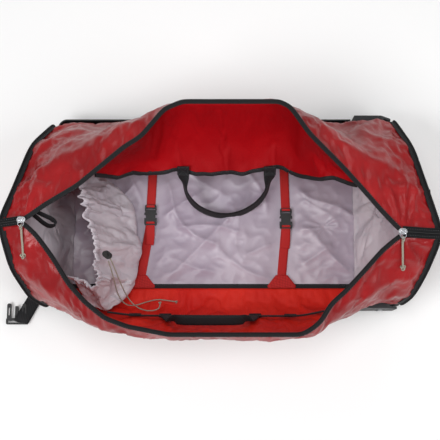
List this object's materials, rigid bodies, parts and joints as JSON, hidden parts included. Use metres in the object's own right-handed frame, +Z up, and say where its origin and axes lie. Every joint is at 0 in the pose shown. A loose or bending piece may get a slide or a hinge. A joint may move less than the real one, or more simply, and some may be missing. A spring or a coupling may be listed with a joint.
{
  "type": "rolling duffel bag",
  "caption": "Wheeled duffel bag lying open: coated fabric shell with zipped mouth, lined inside, compression straps, divider pocket, moulded base, telescoping handle.",
  "frame": {"origin": "underside of the middle skid rail, at the centre of the base", "axes": "+X from the handle end to the wheel end, +Y from the near side to the far side, +Z up out of the mouth"},
  "size_m": [0.9189, 0.504, 0.3174],
  "materials": {
    "shell_fabric": "glossy coated ripstop, wrinkled",
    "inner_fabric": "matte ripstop",
    "lining": "thin shiny polyester",
    "black_trim": "woven binding tape",
    "black_webbing": "woven webbing",
    "red_webbing": "woven webbing",
    "cord": "braided cord",
    "base_plastic": "textured moulding",
    "buckle_plastic": "satin moulding",
    "board": "polyethylene sheet",
    "tyre": "cast polyurethane",
    "hub_plastic": "moulded nylon",
    "steel": "zinc plated",
    "aluminium": "anodised",
    "slider_metal": "die cast, plated"
  },
  "bodies": {
    "bag": {"side_panel_far": "shell_fabric", "side_panel_near": "shell_fabric", "end_panel_head": "shell_fabric", "end_panel_wheel": "shell_fabric", "end_piping_head": "black_trim", "end_piping_wheel": "black_trim", "base_shell": "base_plastic", "skid_rails": "base_plastic", "head_feet": "base_plastic", "base_board": "board", "floor_liner": "lining", "kick_plate": "base_plastic", "wheel_housing_near": "base_plastic", "wheel_housing_far": "base_plastic", "wheel_axle_near": "steel", "wheel_axle_far": "steel", "trolley_outer_tubes": "aluminium", "trolley_end_bracket": "base_plastic", "trolley_bezel": "base_plastic", "zip_tape_far": "black_trim", "zip_tape_near": "black_trim", "closed_zip_ends": "black_trim", "zip_sliders": "slider_metal", "draw_cord_long": "cord", "draw_cord_short": "cord", "end_lining_head": "lining", "end_lining_wheel": "lining", "far_flap": "inner_fabric", "far_flap_binding": "black_trim", "near_seam_tape": "black_trim", "compression_straps_upper": "red_webbing", "compression_straps_lower": "red_webbing", "strap_anchor_patches": "red_webbing", "strap_buckle_sockets": "buckle_plastic", "end_grab_handles": "black_webbing", "divider_pocket": "lining", "pocket_hem": "lining", "cord_lock_body": "buckle_plastic", "base_screws": "steel"},
    "wheel_near": {"wheel_tyre_near": "tyre", "wheel_hub_near": "hub_plastic", "wheel_bearings_near": "steel"},
    "wheel_far": {"wheel_tyre_far": "tyre", "wheel_hub_far": "hub_plastic", "wheel_bearings_far": "steel"},
    "trolley_mid": {"trolley_mid_tubes": "aluminium"},
    "trolley_handle": {"trolley_inner_tubes": "aluminium", "trolley_grip": "base_plastic"},
    "trolley_button": {"trolley_button": "hub_plastic"},
    "puller_head": {"zip_puller_head": "slider_metal", "pull_cord_head": "cord"},
    "puller_wheel": {"zip_puller_wheel": "slider_metal", "pull_cord_wheel": "cord"},
    "plug_left": {"strap_buckle_plug_left": "buckle_plastic"},
    "plug_right": {"strap_buckle_plug_right": "buckle_plastic"},
    "lock_button": {"cord_lock_button": "buckle_plastic"},
    "handle_far": {"handle_far": "black_webbing"},
    "handle_near": {"handle_near": "black_webbing"},
    "side_strap": {"side_strap": "black_webbing", "side_strap_buckle": "buckle_plastic"}
  },
  "joints": [
    {"name": "wheel_spin_near", "type": "hinge", "parent": "bag", "child": "wheel_near", "pos_m": [0.352, -0.19, 0.044], "axis": [0, 1, 0], "continuous": true},
    {"name": "wheel_spin_far", "type": "hinge", "parent": "bag", "child": "wheel_far", "pos_m": [0.352, 0.19, 0.044], "axis": [0, 1, 0], "continuous": true},
    {"name": "trolley_lower_slide", "type": "slide", "parent": "bag", "child": "trolley_mid", "axis": [-1, 0, 0], "range_m": [0, 0.165]},
    {"name": "trolley_upper_slide", "type": "slide", "parent": "trolley_mid", "child": "trolley_handle", "axis": [-1, 0, 0], "range_m": [0, 0.165]},
    {"name": "trolley_button_press", "type": "slide", "parent": "trolley_handle", "child": "trolley_button", "axis": [1, 0, 0], "range_m": [0, 0.004], "stiffness_N_per_m": 400},
    {"name": "zip_puller_swing_head", "type": "hinge", "parent": "bag", "child": "puller_head", "pos_m": [-0.387, -0.06165, 0.31455], "axis": [-1, 0, 0], "range_deg": [0, 60]},
    {"name": "zip_puller_swing_wheel", "type": "hinge", "parent": "bag", "child": "puller_wheel", "pos_m": [0.355, -0.08465, 0.31455], "axis": [-1, 0, 0], "range_deg": [0, 60]},
    {"name": "strap_buckle_release_left", "type": "slide", "parent": "bag", "child": "plug_left", "axis": [0, 1, 0], "range_m": [0, 0.022]},
    {"name": "strap_buckle_release_right", "type": "slide", "parent": "bag", "child": "plug_right", "axis": [0, 1, 0], "range_m": [0, 0.022]},
    {"name": "cord_lock_press", "type": "slide", "parent": "bag", "child": "lock_button", "axis": [0.18, 0.24, -0.9539], "range_m": [0, 0.003], "stiffness_N_per_m": 500},
    {"name": "handle_far_swing", "type": "hinge", "parent": "bag", "child": "handle_far", "pos_m": [0.014, 0.072, 0.146], "axis": [-1, 0, 0], "range_deg": [0, 60]},
    {"name": "handle_near_swing", "type": "hinge", "parent": "bag", "child": "handle_near", "pos_m": [0, -0.237, 0.124], "axis": [-1, 0, 0], "range_deg": [0, 70]},
    {"name": "side_strap_lift", "type": "hinge", "parent": "bag", "child": "side_strap", "pos_m": [-0.386, -0.143, 0.0035], "axis": [0, 1, 0], "range_deg": [0, 50]}
  ]
}
